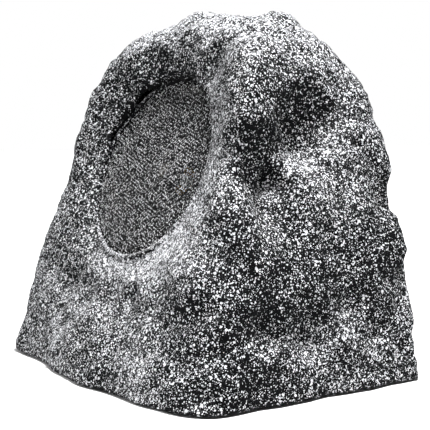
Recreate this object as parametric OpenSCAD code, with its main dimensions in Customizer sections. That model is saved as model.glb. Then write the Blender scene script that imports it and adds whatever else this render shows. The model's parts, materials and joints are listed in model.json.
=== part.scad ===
/* [Rock shell] */
// Width of the rock at the ground, left to right
rock_w = 316; // [300:1:340]
// Depth of the rock at the ground, front to back
rock_d = 256; // [245:1:276]
// Height of the rock's top above the ground
rock_h = 309; // [302:1:327]
// Wall thickness of the moulded shell
shell_wall = 6; // [5:0.5:8]
// Depth of the small waves over the whole rock face
rock_rough = 1.6; // [0:0.1:3]
// Gap between the shell's lower edge and the ground
shell_lift = 2; // [1:0.5:3]
// Width of the flat ledge that the base plate seals against
ledge_w = 14; // [13:0.5:18]
// Thickness of the ledge
ledge_t = 11; // [10:0.5:16]

/* [Speaker opening] */
// Distance of the grille's centre to the right of the rock's centre
grille_x = -3; // [-8:1:2]
// Distance of the grille's centre in front of the rock's centre
grille_out = 47; // [44:1:50]
// Height of the grille's centre above the ground
grille_z = 176; // [172:1:180]
// Lean of the grille back from upright
grille_tilt = 24; // [22:1:26]
// How much wider the grille is than the woofer behind it
grille_over = 4; // [3:0.5:5]
// Thickness of the grille sheet
grille_t = 1; // [0.8:0.1:1.5]
// Depth of the grille's folded rim
grille_rim = 6; // [5:0.5:7]
// Diameter of one hole in the grille
grille_hole_d = 9; // [6:0.5:10]
// Distance between the centres of two holes in the grille
grille_pitch = 14; // [13.5:0.5:18]
// Turn of the rows of holes from level
grille_turn = 18; // [0:1:30]
// Radial gap between the grille's rim and the opening
grille_gap = 0.3; // [0.2:0.05:0.5]
// Height of the round lip that stands up around the grille
lip_h = 2.5; // [2:0.5:4]
// Width of the round lip
lip_w = 4.5; // [3.5:0.5:6]
// Thickness of the mounting ring behind the opening
baffle_t = 10; // [8:1:14]

/* [Woofer] */
// Outer diameter of the basket's flange
basket_d = 159; // [157:0.5:160]
// Thickness of the pressed steel of the basket
basket_t = 1.6; // [1.2:0.1:2.2]
// Depth of the basket from its flange to its back
basket_depth = 38; // [36:1:42]
// Distance of the basket's screws from the edge of its flange
flange_edge = 4.5; // [4.4:0.1:4.8]
// Number of windows in the basket
window_count = 6; // [4:1:8]
// Width of the surround's half roll
roll_w = 10; // [9:0.5:12]
// Thickness of the cone
cone_t = 0.9; // [0.7:0.1:1.2]
// Depth of the cone from its edge to its neck
cone_depth = 25; // [22:1:26]
// Thickness of the rubber surround
surround_t = 0.9; // [0.7:0.1:1.2]
// Travel of the cone each way from rest
cone_travel = 4; // [3:0.5:4.5]
// Diameter of the voice coil's former
former_d = 26; // [25:0.5:27]
// Thickness of the former's tube
former_t = 0.4; // [0.3:0.1:0.5]
// Thickness of the copper winding
winding_t = 0.6; // [0.5:0.1:0.8]
// Height of the copper winding
winding_h = 9; // [8:0.5:11]
// Air gap on each side of the coil
coil_gap = 0.5; // [0.4:0.1:0.8]
// Thickness of the front steel plate
top_plate_t = 5; // [4:0.5:6]
// Diameter of the magnet ring
magnet_d = 84; // [78:1:90]
// Thickness of the magnet ring
magnet_t = 14; // [12:0.5:18]
// Thickness of the rear steel plate
yoke_t = 5; // [4:0.5:7]

/* [Tweeter] */
// Outer diameter of the tweeter's housing
tweeter_d = 32; // [30:0.5:34]
// Length of the tweeter's housing
tweeter_h = 17; // [16:0.5:18]
// Diameter of the tweeter's dome
dome_d = 14; // [13:0.5:16]
// Diameter of the hollow post that carries the tweeter
post_d = 10; // [9:0.5:11]
// Bore of the hollow post
post_bore = 5; // [4:0.5:6]

/* [Base] */
// Thickness of the base plate
plate_t = 4; // [3:0.5:5]
// Thickness of the base gasket
gasket_t = 1.5; // [1:0.25:2]
// Height of the rubber feet
foot_h = 4; // [3.5:0.25:5]
// Diameter of the rubber feet
foot_d = 22; // [20:1:26]
// Number of screws round the base plate
base_screw_count = 8; // [6:1:10]
// Shank diameter of the base screws
base_screw_d = 4; // [3.5:0.5:4.5]

/* [Crossover] */
// Length of the crossover board
board_w = 96; // [90:1:104]
// Width of the crossover board
board_d = 64; // [60:1:70]
// Thickness of the crossover board
board_t = 1.6; // [1.2:0.2:2.4]
// Height of the posts that carry the board
board_post_h = 10; // [8:1:14]

/* [Cable gland] */
// Height of the gland above the ground
gland_z = 42; // [40:1:48]
// Distance of the gland to the right of the rock's centre
gland_x = 40; // [30:1:50]
// Bore of the gland, for the speaker cable
gland_bore = 7; // [6:0.5:8]
// Thread diameter of the gland
gland_d = 12; // [12:0.5:14]
// Depth of the gland's flat seat under the rock's back face
gland_sink = 13; // [12:0.5:14]

/* [Hidden] */
$fn = 64;

// Fits
slide_fit = 0.3;
bite_fit = 0.05;
nip = 0.1;

// Rock grid: columns round the rock, rows on the steep side, rows over the top
cols = 108;
side_rows = 18;
top_rows = 23;
inner_step = 2;
rock_mid = 150;
facet_sharpness = 30;
dent_edge = 1.7;
inner_dent_r = 22;
probe_az = 3;
probe_u = 0.04;
square_least = 0.45;
tiny = 0.001;
void_extra = 2.5;
ledge_blend = 12;
model_w = 316;
model_d = 256;
model_h = 309;
scale_x = rock_w / model_w;
scale_y = rock_d / model_d;
scale_z = rock_h / model_h;

// Flat faces of the rock: bearing of the outward side, lean back from upright,
// then a point on the face as its distance out and its height
facets = [
    [-90, 10, 114, 0], [-90, 18, 91, 97], [-90, 46, 40, 266], [-58, 14, 166, 0],
    [0, 3, 158, 0], [0, 10, 150, 120], [4, 30, 127, 238], [16, 58, 117, 280], [-30, 40, 123, 262],
    [54, 3, 195, 0], [54, 12, 172, 130], [54, 31, 143, 236], [54, 60, 124, 272],
    [90, 3, 119, 0], [90, 9, 113, 120], [92, 32, 100, 232], [140, 8, 190, 0], [150, 38, 137, 244],
    [180, 7, 154, 0], [186, 38, 129, 248], [-126, 17.5, 184, 0], [-126, 50, 105, 264],
    [-126, 70, 73, 292], [100, 77, 0, 314], [-10, 80, 0, 314], [220, 77, 0, 312]
];

// Hollows pressed into the rock: centre, radius, depth; a minus depth is a bump
dents = [
    [[128, 12, 209], 29, 26], [[128, 14, 183], 24, 8],
    [[128, -33, 180], 28, 27], [[129, -25, 152], 28, 21], [[130, -14, 124], 26, 9],
    [[132, 88, 150], 20, 11], [[145, 88, 112], 20, -3],
    [[116, 82, 216], 13, 7], [[144, 98, 90], 12, 6], [[148, -44, 60], 18, 11], [[150, -4, 52], 20, 11],
    [[150, 44, 71], 14, 9], [[150, 64, 46], 12, 7], [[110, -91, 92], 18, -13],
    [[-20, -114, 5], 50, -11], [[46, -114, 5], 50, -9], [[106, -112, 5], 36, -6],
    [[-67, -99, 74], 11, 9], [[-54, -98, 85], 10, 6], [[-26, -101, 68], 12, 6],
    [[6, -101, 70], 13, 6], [[40, -100, 71], 13, 7], [[-104, -108, 28], 15, 6],
    [[70, -33, 274], 16, 10], [[-77, -42, 250], 16, 8],
    [[92, -20, 288], 12, 6], [[67, 0, 293], 13, 9], [[39, 20, 298], 13, 12], [[11, 40, 299], 14, 12],
    [[-17, 60, 295], 14, 12], [[-42, 78, 285], 14, 8], [[66, 32, 293], 15, -8], [[-16, 4, 300], 18, -4],
    [[-40, -34, 266], 17, 8], [[-112, -74, 156], 28, 7],
    [[-150, 20, 90], 34, 8], [[-135, -30, 170], 28, 5], [[-60, 108, 120], 36, 9],
    [[60, 100, 190], 32, 8], [[0, 112, 60], 30, 7], [[-100, 80, 220], 26, 8],
    [[-50, 122, 8], 46, -8], [[60, 122, 8], 40, -6], [[-154, 40, 10], 40, -5]
];

// Driver axis
grille_y = -grille_out;
grille_centre = [grille_x, grille_y, grille_z];
grille_d = basket_d + grille_over;
axis_out = [0, -cos(grille_tilt), sin(grille_tilt)];
axis_up = [0, sin(grille_tilt), cos(grille_tilt)];

// Levels along the driver axis, zero at the grille's face and minus going in
opening_r = grille_d / 2 + grille_gap;
seat_r = basket_d / 2 + slide_fit;
woofer_gasket_t = 1;
grille_seat = -grille_rim;
flange_back = grille_seat - 7;
flange_front = flange_back + basket_t;
baffle_front = flange_back - woofer_gasket_t;
baffle_back = baffle_front - baffle_t;
baffle_hole_r = basket_d / 2 - 10;
tube_r = opening_r + 8;
tube_sink = 2.5;
lip_root = 4;
rim_level = 0.5;
funnel_start = opening_r + 6;
funnel_w = 26;
funnel_side = 14;
funnel_depth = 25;
facing_least = 0.2;
basket_back = flange_back - basket_depth;
top_plate_front = basket_back - basket_t;
top_plate_back = top_plate_front - top_plate_t;
magnet_back = top_plate_back - magnet_t;
yoke_back = magnet_back - yoke_t;
cone_edge = flange_front + surround_t;
cone_neck = cone_edge - cone_depth;
roll_outer = basket_d / 2 - 12;
roll_inner = roll_outer - roll_w;
cone_r = roll_inner + 1;
surround_outer = roll_outer + 3.6;
trim_t = 1.8;
former_r = former_d / 2;
winding_r = former_r + winding_t;
plate_hole_r = winding_r + coil_gap;
pole_r = former_r - former_t - coil_gap;
coil_mid = top_plate_front - top_plate_t / 2;
winding_front = coil_mid + winding_h / 2;
winding_back = coil_mid - winding_h / 2;
former_front = cone_neck + 1;
spider_z = basket_back + 9;
spider_t = 0.5;
spider_r = 44;
spider_foot_w = 4;
basket_throat_r = 34;
post_r = post_d / 2;
post_clear = 0.2;
collar_w = 2.5;
collar_t = 2;
housing_back = cone_neck + cone_travel + 5.5;
housing_front = housing_back + tweeter_h;
post_nut_t = 4;
post_back = yoke_back - post_nut_t - 2;

// Heights above the ground
plate_bottom = foot_h;
plate_top = plate_bottom + plate_t;
ledge_bottom = plate_top + gasket_t;
ledge_top = ledge_bottom + ledge_t;
board_bottom = plate_top + board_post_h;
board_top = board_bottom + board_t;

// Rock surface
function norm2(v) = v * v;
function clamp01(t) = min(1, max(0, t));
function ease(t) = clamp01(t) * clamp01(t) * (3 - 2 * clamp01(t));

function bearing(az, rise) = [cos(az) * cos(rise), sin(az) * cos(rise), sin(rise)];

// Share of a ray from origin o that a facet cuts per millimetre
function facet_pull(f, o, dir) =
    let (n = bearing(f[0], f[1]),
         d = f[2] * cos(f[1]) + f[3] * sin(f[1]))
    max(0, n * dir) / (d - n * o);

function sum_powers(v, p, i = 0) = i == len(v) ? 0 : pow(v[i], p) + sum_powers(v, p, i + 1);

function hull_reach(o, dir) =
    pow(sum_powers([for (f = facets) facet_pull(f, o, dir)], facet_sharpness), -1 / facet_sharpness);

// Inside the shell a deep hollow is at least this wide, so that its wall stays whole
function dent_radius(d, least) = d[2] > shell_wall ? max(least, d[1]) : d[1];
function dent_depth(p, least, i = 0) =
    i == len(dents) ? 0
    : let (d = norm2(p - dents[i][0]) / norm2(dent_radius(dents[i], least)),
           depth = least > 0 ? max(0, dents[i][2]) : dents[i][2])
      (d > 4 ? 0 : depth * exp(-pow(d, dent_edge))) + dent_depth(p, least, i + 1);

function waves(p) =
    rock_rough * (sin(4.1 * p.x + 2.7 * p.z) * sin(4.9 * p.y - 3.3 * p.z + 40)
        + 0.7 * sin(8.3 * p.x - 6.1 * p.y + 70) * sin(7.7 * p.z + 5.1 * p.y));

// Reach of the plain rock along a ray, in the rock's own proportions
function rock_reach(o, dir, least) =
    let (r = hull_reach(o, dir),
         p = o + r * dir)
    r - dent_depth(p, least) + waves(p);

// Draws a point of the face in to the plane round the grille
function drawn_in(p, dir) =
    let (q = p - grille_centre,
         h = q * axis_out,
         across = q.x,
         up = q * axis_up,
         rho = sqrt(across * across + up * up),
         side = rho < 1 ? 0 : across / rho,
         funnel = funnel_w + funnel_side * max(0, side),
         blend = ease((rho - funnel_start) / funnel),
         facing = dir * axis_out)
    (facing < facing_least || h < -funnel_depth || blend == 1) ? p
    : p + dir * ((rim_level - h) * (1 - blend) * ease(facing / facing_least - 1) / facing);

function ray_start(u) = [0, 0, u < 1 ? shell_lift + (rock_mid - shell_lift) * u : rock_mid];
function ray_rise(u) = u < 1 ? 0 : 90 * (u - 1);

// u runs from 0 at the lower edge to 1 at half height and 2 at the top
function outer_point(az, u, least = 0) =
    let (o = ray_start(u),
         dir = bearing(az, ray_rise(u)),
         r = rock_reach([0, 0, o.z / scale_z], dir, least))
    drawn_in([o.x + r * dir.x * scale_x, o.y + r * dir.y * scale_y, o.z + r * dir.z * scale_z], dir);

// Point inside the shell: further in along the ray where the face lies aslant to it
function inner_point(az, u, inset) =
    let (dir = bearing(az, ray_rise(u)),
         p = outer_point(az, u, inner_dent_r),
         along = outer_point(az + probe_az, u, inner_dent_r) - outer_point(az - probe_az, u, inner_dent_r),
         up = outer_point(az, u + probe_u, inner_dent_r) - outer_point(az, u - probe_u, inner_dent_r),
         n = cross(along, up),
         square = abs(n * dir) / max(norm(n), tiny))
    p - dir * inset / max(square, square_least);

function side_u(z) = (z - shell_lift) / (rock_mid - shell_lift);

// Outline of the recess for the base plate, drawn in by a margin
function base_point(az, margin) =
    let (p = outer_point(az, side_u(ledge_bottom)),
         r = norm([p.x, p.y]) - shell_wall - margin)
    [r * cos(az), r * sin(az)];

function base_outline(margin) = [for (i = [0 : inner_step : cols - 1]) base_point(col_az(i), margin)];

outer_rows = side_rows + top_rows;
function row_u(k) = k < side_rows ? k / side_rows : 1 + (k - side_rows) / top_rows;

// Bearing of a column; columns stand closer together at the front
function col_az(i) = 360 * i / cols - 20 * sin(360 * i / cols + 80);
inner_cols = cols / inner_step;
// Rows inside the shell: height step u and the inset from the outside
void_rows = [
    [side_u(ledge_top), shell_wall + ledge_w],
    [side_u(ledge_top + ledge_blend), shell_wall + void_extra],
    for (k = [4 : 1 : 10]) [k / 11, shell_wall + void_extra],
    for (k = [0 : 1 : 8]) [1 + k / 9.5, shell_wall + void_extra]
];
inner_rows = len(void_rows) + 3;

outer_points = [for (k = [0 : outer_rows - 1]) for (i = [0 : cols - 1]) outer_point(col_az(i), row_u(k))];
shell_points = concat(
    outer_points,
    [outer_point(0, 2)],
    [for (p = base_outline(0)) [p.x, p.y, shell_lift]],
    [for (p = base_outline(0)) [p.x, p.y, ledge_bottom]],
    [for (p = base_outline(ledge_w)) [p.x, p.y, ledge_bottom]],
    [for (row = void_rows) for (i = [0 : inner_cols - 1]) inner_point(col_az(inner_step * i), row[0], row[1])],
    [outer_point(0, 2) - [0, 0, shell_wall + void_extra]]
);

outer_top = outer_rows * cols;
inner_first = outer_top + 1;
inner_top = inner_first + inner_rows * inner_cols;

function outer_index(k, i) = k * cols + i % cols;
function inner_index(k, i) = inner_first + k * inner_cols + i % inner_cols;

// Two triangles for four corners of the rock face, cut along the shorter diagonal
function split_quad(a, b, c, d) =
    norm(outer_points[a] - outer_points[c]) < norm(outer_points[b] - outer_points[d])
        ? [[a, b, c], [a, c, d]]
        : [[a, b, d], [b, c, d]];

shell_faces = concat(
    [for (k = [0 : outer_rows - 2]) for (i = [0 : cols - 1])
        each split_quad(outer_index(k, i), outer_index(k + 1, i),
                        outer_index(k + 1, i + 1), outer_index(k, i + 1))],
    [for (i = [0 : cols - 1]) [outer_index(outer_rows - 1, i), outer_top, outer_index(outer_rows - 1, i + 1)]],
    [for (i = [0 : inner_cols - 1])
        for (t = [[outer_index(0, 2 * i), outer_index(0, 2 * i + 1), inner_index(0, i)],
                  [outer_index(0, 2 * i + 1), inner_index(0, i + 1), inner_index(0, i)],
                  [outer_index(0, 2 * i + 1), outer_index(0, 2 * i + 2), inner_index(0, i + 1)]]) t],
    [for (k = [0 : inner_rows - 2]) for (i = [0 : inner_cols - 1])
        for (t = [[inner_index(k, i), inner_index(k + 1, i + 1), inner_index(k + 1, i)],
                  [inner_index(k, i), inner_index(k, i + 1), inner_index(k + 1, i + 1)]]) t],
    [for (i = [0 : inner_cols - 1])
        [inner_index(inner_rows - 1, i), inner_index(inner_rows - 1, i + 1), inner_top]]
);

// Places
module on_driver_axis(level = 0) {
    translate(grille_centre) rotate([90 - grille_tilt, 0, 0]) translate([0, 0, level]) children();
}

module round_bar(r, from, to) {
    translate([0, 0, min(from, to)]) cylinder(r = r, h = abs(to - from));
}

module tube(r_out, r_in, from, to) {
    difference() {
        round_bar(r_out, from, to);
        round_bar(r_in, min(from, to) - 1, max(from, to) + 1);
    }
}

// Screws round the base, halfway across the ledge
base_screw_margin = ledge_w / 2;
base_screw_start = 22.5;
base_screw_at = [for (i = [0 : base_screw_count - 1])
    base_point(base_screw_start + 360 * i / base_screw_count, base_screw_margin)];
base_screw_len = 14;
base_head_r = base_screw_d;
base_head_h = 2.4;

foot_inset_x = 50.5;
foot_inset_y = 59;
foot_x = rock_w / 2 - foot_inset_x;
foot_y = rock_d / 2 - foot_inset_y;
foot_at = [for (sx = [-1, 1]) for (sy = [-1, 1]) [sx * foot_x, sy * foot_y]];
foot_screw_r = 1.75;
foot_head_r = 3.6;
foot_head_h = 2;
foot_web = 1.2;
foot_boss_r = 5.5;
foot_boss_h = 7;

woofer_screw_count = 8;
woofer_screw_r = 2;
woofer_head_r = 3.6;
woofer_head_h = 2.2;
woofer_screw_len = 8;
module at_woofer_screws() {
    for (i = [0 : woofer_screw_count - 1])
        rotate(360 * (i + 0.5) / woofer_screw_count) translate([basket_d / 2 - flange_edge, 0, 0]) children();
}

gland_az = atan2(rock_d / 2, gland_x);
gland_seat = outer_point(gland_az, side_u(gland_z)).y - gland_sink;
gland_pocket_r = gland_d / 2 + 6;
gland_pad_r = gland_pocket_r + 4;
gland_pad_out = 6;
gland_wall = 6;
gland_flange_r = gland_d / 2 + 4;
gland_flange_t = 4;
gland_sleeve_h = 8;
gland_tube_t = 1.5;
gland_tail = 3;
gland_nut_t = 4;
gland_cap_l = 12;
gland_cap_r = gland_d / 2 + 2.5;
gland_fit = 0.15;
module at_gland() {
    translate([gland_x, gland_seat, gland_z]) rotate([-90, 0, 0]) children();
}

module rock_shell() {
    color("dimgray")
    difference() {
        union() {
            polyhedron(points = shell_points, faces = shell_faces, convexity = 10);
            on_driver_axis() round_bar(tube_r, baffle_back, rim_level - tube_sink);
            on_driver_axis() lip();
            at_gland() round_bar(gland_pad_r, -gland_wall, gland_pad_out);
        }
        on_driver_axis() {
            round_bar(opening_r, grille_seat, 90);
            round_bar(seat_r, baffle_front, grille_seat + 1);
            round_bar(baffle_hole_r, baffle_back - 1, baffle_front + 1);
            at_woofer_screws()
                round_bar(woofer_screw_r + bite_fit, baffle_front - woofer_screw_len, baffle_front + 1);
        }
        at_gland() {
            round_bar(gland_pocket_r, 0, 40);
            round_bar(gland_d / 2 + gland_fit, -gland_wall - 1, 1);
        }
        for (p = base_screw_at)
            translate([p.x, p.y, ledge_bottom - 1]) cylinder(r = base_screw_d / 2 + bite_fit, h = ledge_t);
    }
}

module lip() {
    rotate_extrude(convexity = 4)
        polygon([[opening_r, rim_level - lip_root], [opening_r, lip_h - 1], [opening_r + 1, lip_h],
                 [opening_r + lip_w - 1.5, lip_h], [opening_r + lip_w, lip_h - 1.5],
                 [opening_r + lip_w, rim_level - lip_root]]);
}

module base_plate() {
    color([0.08, 0.08, 0.08])
    difference() {
        union() {
            translate([0, 0, plate_bottom]) linear_extrude(plate_t) polygon(base_outline(slide_fit + 0.2));
            for (p = foot_at)
                translate([p.x, p.y, plate_top - nip]) cylinder(r = foot_boss_r, h = foot_boss_h + nip);
            for (p = board_screw_at)
                translate([p.x, p.y, plate_top - nip]) cylinder(r = board_post_r, h = board_post_h + nip);
        }
        for (p = base_screw_at)
            translate([p.x, p.y, plate_bottom - 1]) cylinder(r = base_screw_d / 2 + slide_fit, h = plate_t + 2);
        for (p = foot_at)
            translate([p.x, p.y, plate_bottom - 1])
                cylinder(r = foot_screw_r + bite_fit, h = plate_t + foot_boss_h);
        for (p = board_screw_at)
            translate([p.x, p.y, plate_top + 1]) cylinder(r = board_screw_r + bite_fit, h = board_post_h);
    }
}

module base_gasket() {
    color([0.12, 0.12, 0.12])
    difference() {
        translate([0, 0, plate_top]) linear_extrude(gasket_t) difference() {
            polygon(base_outline(1));
            polygon(base_outline(ledge_w - 1));
        }
        for (p = base_screw_at)
            translate([p.x, p.y, plate_top - 1]) cylinder(r = base_screw_d / 2 + slide_fit, h = gasket_t + 2);
    }
}

// Pan head screw along +Z, its head under the seat at zero
module pan_screw(shank_r, shank_len, head_r, head_h) {
    difference() {
        union() {
            rotate_extrude()
                polygon([[0, -head_h], [head_r - head_h / 2, -head_h], [head_r, -head_h / 2],
                         [head_r, 0], [0, 0]]);
            translate([0, 0, -nip]) cylinder(r = shank_r, h = shank_len - shank_r + nip);
            translate([0, 0, shank_len - shank_r]) cylinder(r1 = shank_r, r2 = shank_r / 4, h = shank_r);
        }
        for (a = [0, 90])
            rotate(a) translate([-head_r / 2, -head_r / 9, -head_h - 1])
                cube([head_r, head_r / 4.5, head_h / 2 + 1]);
    }
}

module base_screws() {
    color("silver")
    for (p = base_screw_at)
        translate([p.x, p.y, plate_bottom])
            pan_screw(base_screw_d / 2, base_screw_len, base_head_r, base_head_h);
}

module rubber_feet() {
    color([0.05, 0.05, 0.05])
    for (p = foot_at)
        translate([p.x, p.y, 0]) difference() {
            rotate_extrude()
                polygon([[0, 0], [foot_d / 2 - 1.5, 0], [foot_d / 2, 1.5], [foot_d / 2, foot_h], [0, foot_h]]);
            translate([0, 0, -1]) cylinder(r = foot_head_r + slide_fit, h = foot_h - foot_web + 1);
            translate([0, 0, -1]) cylinder(r = foot_screw_r + slide_fit, h = foot_h + 2);
        }
}

module foot_screws() {
    color("silver")
    for (p = foot_at)
        translate([p.x, p.y, foot_h - foot_web])
            pan_screw(foot_screw_r, foot_web + plate_t + foot_boss_h - 2, foot_head_r, foot_head_h);
}

module gland_body() {
    color([0.1, 0.1, 0.1])
    at_gland() difference() {
        union() {
            cylinder(r = gland_flange_r, h = gland_flange_t, $fn = 6);
            round_bar(gland_d / 2, -gland_wall - gland_nut_t - gland_tail, gland_flange_t + gland_sleeve_h);
        }
        round_bar(gland_bore / 2, -30, 30);
        round_bar(gland_d / 2 - gland_tube_t, gland_flange_t, 30);
    }
}

module gland_seal() {
    color([0.2, 0.2, 0.2])
    at_gland()
        tube(gland_d / 2 - gland_tube_t - gland_fit, gland_bore / 2,
             gland_flange_t, gland_flange_t + gland_sleeve_h);
}

module gland_cap() {
    color([0.1, 0.1, 0.1])
    at_gland() difference() {
        union() {
            translate([0, 0, gland_flange_t]) cylinder(r = gland_cap_r, h = gland_cap_l * 0.6, $fn = 24);
            translate([0, 0, gland_flange_t + gland_cap_l * 0.6])
                cylinder(r1 = gland_cap_r, r2 = gland_d / 2 - 1, h = gland_cap_l * 0.4);
        }
        round_bar(gland_d / 2 + gland_fit, gland_flange_t - 1, gland_flange_t + gland_sleeve_h + gland_fit);
        round_bar(gland_bore / 2, 0, 40);
    }
}

module gland_nut() {
    color([0.1, 0.1, 0.1])
    at_gland() difference() {
        translate([0, 0, -gland_wall - gland_nut_t]) cylinder(r = gland_d / 2 + 4, h = gland_nut_t, $fn = 6);
        round_bar(gland_d / 2 + gland_fit, -gland_wall - gland_nut_t - 1, -gland_wall + 1);
    }
}

// Rows of staggered holes over the disc
grille_field_r = grille_d / 2 - 7;
grille_row_h = grille_pitch * sqrt(3) / 2;
grille_holes = [
    for (j = [-8 : 8]) for (i = [-8 : 8])
        let (p = [(i + (j % 2 == 0 ? 0 : 0.5)) * grille_pitch, j * grille_row_h])
        if (norm(p) + grille_hole_d / 2 < grille_field_r) p
];

module grille() {
    color([0.25, 0.25, 0.25])
    on_driver_axis() difference() {
        round_bar(grille_d / 2, -grille_rim, 0);
        round_bar(grille_d / 2 - grille_t, -grille_rim - 1, -grille_t);
        rotate(-grille_turn) for (p = grille_holes)
            translate([p.x, p.y, -grille_t - 1]) cylinder(r = grille_hole_d / 2, h = grille_t + 2, $fn = 16);
    }
}

module woofer_gasket() {
    color([0.15, 0.15, 0.15])
    on_driver_axis() difference() {
        tube(basket_d / 2 - 0.5, baffle_hole_r + 0.5, baffle_front, flange_back);
        at_woofer_screws() round_bar(woofer_screw_r + slide_fit, baffle_front - 1, flange_back + 1);
    }
}

// Pressed basket: flange, sloping wall with windows, spider step and a flat back
basket_mouth_r = baffle_hole_r - 1;
step_r = spider_r + spider_foot_w;
module basket() {
    color([0.1, 0.1, 0.11])
    on_driver_axis() difference() {
        rotate_extrude(convexity = 6)
            polygon([[basket_d / 2, flange_front], [basket_mouth_r - basket_t, flange_front],
                     [step_r + 0.5, spider_z], [spider_r - 1, spider_z], [basket_throat_r, basket_back + 2],
                     [basket_throat_r, basket_back], [plate_hole_r + 4, basket_back],
                     [plate_hole_r + 4, top_plate_front], [basket_throat_r + basket_t, top_plate_front],
                     [spider_r + 0.4, spider_z - basket_t], [step_r + basket_t, spider_z - basket_t],
                     [basket_mouth_r, flange_back], [basket_d / 2, flange_back]]);
        for (i = [0 : window_count - 1])
            rotate(360 * i / window_count) basket_window();
        at_woofer_screws() round_bar(woofer_screw_r + slide_fit, flange_back - 1, flange_front + 1);
    }
}

window_share = 0.62;
module basket_window() {
    half = 180 / window_count * window_share;
    rotate(-half) rotate_extrude(angle = 2 * half, convexity = 4)
        polygon([[step_r + 5, flange_back - 6], [basket_d / 2, flange_back - 6],
                 [basket_d / 2, spider_z + 4], [step_r + 1, spider_z + 4]]);
}

module woofer_screws() {
    color([0.15, 0.15, 0.15])
    on_driver_axis(flange_front) at_woofer_screws()
        rotate([180, 0, 0]) pan_screw(woofer_screw_r, basket_t + woofer_gasket_t + woofer_screw_len - 1,
                                      woofer_head_r, woofer_head_h);
}

module trim_ring() {
    color([0.1, 0.1, 0.1])
    on_driver_axis()
        tube(surround_outer - 0.5, roll_outer + 0.5,
             flange_front + surround_t, flange_front + surround_t + trim_t);
}

roll_mid = (roll_inner + roll_outer) / 2;
roll_r = (roll_outer - roll_inner) / 2;
roll_steps = 16;
module surround() {
    color([0.07, 0.07, 0.07])
    on_driver_axis() rotate_extrude(convexity = 4)
        polygon(concat(
            [[cone_r - 5, cone_edge], [roll_inner, cone_edge]],
            [for (i = [0 : roll_steps])
                [roll_mid - roll_r * cos(180 * i / roll_steps),
                 cone_edge + roll_r * sin(180 * i / roll_steps)]],
            [[surround_outer, cone_edge], [surround_outer, flange_front]],
            [for (i = [roll_steps : -1 : 0])
                [roll_mid - (roll_r - surround_t) * cos(180 * i / roll_steps),
                 flange_front + (roll_r - surround_t) * sin(180 * i / roll_steps)]],
            [[cone_r - 5, flange_front]]
        ));
}

// Paper cone with a gently curved flank, its edge glued under the surround
cone_steps = 12;
cone_bow = 2.5;
function cone_line(t, lift) =
    [former_r + (cone_r - former_r) * t,
     cone_neck + lift + (flange_front - surround_t - cone_neck) * t - cone_bow * sin(180 * t)];
module cone() {
    color([0.12, 0.12, 0.12])
    on_driver_axis() rotate_extrude(convexity = 4)
        polygon(concat(
            [for (i = [0 : cone_steps]) cone_line(i / cone_steps, 0)],
            [[cone_r + 1, flange_front - surround_t], [cone_r + 1, flange_front], [cone_r - 5, flange_front]],
            [for (i = [cone_steps - 1 : -1 : 0]) cone_line(i / cone_steps, cone_t)]
        ));
}

spider_waves = 5;
spider_steps = 60;
spider_amp = 1.2;
function spider_line(t, lift) =
    let (flat = clamp01(min(t, 1 - t) * 12))
    [former_r + (step_r - 0.5 - former_r) * t,
     spider_z + lift + spider_amp * flat * (1 - cos(360 * spider_waves * t)) / 2];
module spider() {
    color([0.75, 0.6, 0.3])
    on_driver_axis() rotate_extrude(convexity = 8)
        polygon(concat(
            [for (i = [0 : spider_steps]) spider_line(i / spider_steps, 0)],
            [for (i = [spider_steps : -1 : 0]) spider_line(i / spider_steps, spider_t)]
        ));
}

module coil_former() {
    color([0.8, 0.65, 0.35])
    on_driver_axis() tube(former_r, former_r - former_t, winding_back - 0.5, former_front);
}

module coil_winding() {
    color([0.72, 0.4, 0.2])
    on_driver_axis() tube(winding_r, former_r, winding_back, winding_front);
}

module top_plate() {
    color([0.6, 0.6, 0.62])
    on_driver_axis() tube(magnet_d / 2 - 2, plate_hole_r, top_plate_back, top_plate_front);
}

module magnet() {
    color([0.2, 0.2, 0.22])
    on_driver_axis() rotate_extrude()
        polygon([[plate_hole_r + 6, magnet_back], [plate_hole_r + 6, top_plate_back],
                 [magnet_d / 2 - 1, top_plate_back], [magnet_d / 2, top_plate_back - 1],
                 [magnet_d / 2, magnet_back + 1], [magnet_d / 2 - 1, magnet_back]]);
}

module yoke() {
    color([0.6, 0.6, 0.62])
    on_driver_axis() difference() {
        union() {
            rotate_extrude()
                polygon([[0, yoke_back], [magnet_d / 2 - 4, yoke_back], [magnet_d / 2 - 2, yoke_back + 2],
                         [magnet_d / 2 - 2, magnet_back], [0, magnet_back]]);
            round_bar(pole_r, magnet_back - nip, top_plate_front);
        }
        round_bar(post_r + post_clear, yoke_back - 1, top_plate_front + 1);
    }
}

// Tag strip riveted to the basket's wall between two windows
strip_angle = -90 + 180 / window_count;
strip_w = 16;
strip_h = 9;
strip_t = 1.5;
strip_r = basket_mouth_r + 1.5;
strip_z = flange_back - 12;
strip_back = 8.5;
strip_reach = 7;
tag_w = 2.8;
tag_t = 0.8;
tag_h = 5;
tag_in = 3.5;
module at_strip() {
    rotate(strip_angle) translate([strip_r, 0, strip_z]) children();
}
module terminal_strip() {
    color([0.7, 0.6, 0.3])
    on_driver_axis() at_strip() {
        translate([-strip_back, -strip_w / 2, 0]) cube([strip_reach, strip_w, strip_t]);
        for (s = [-1, 1])
            translate([-tag_in, s * strip_w / 4 - tag_w / 2, strip_t - nip]) cube([tag_t, tag_w, tag_h + nip]);
    }
}

module tweeter_post() {
    color([0.5, 0.5, 0.52])
    on_driver_axis() difference() {
        union() {
            round_bar(post_r, post_back, housing_back);
            round_bar(post_r + collar_w, top_plate_front, top_plate_front + collar_t);
        }
        round_bar(post_bore / 2, post_back - 1, housing_back + 1);
    }
}

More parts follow.
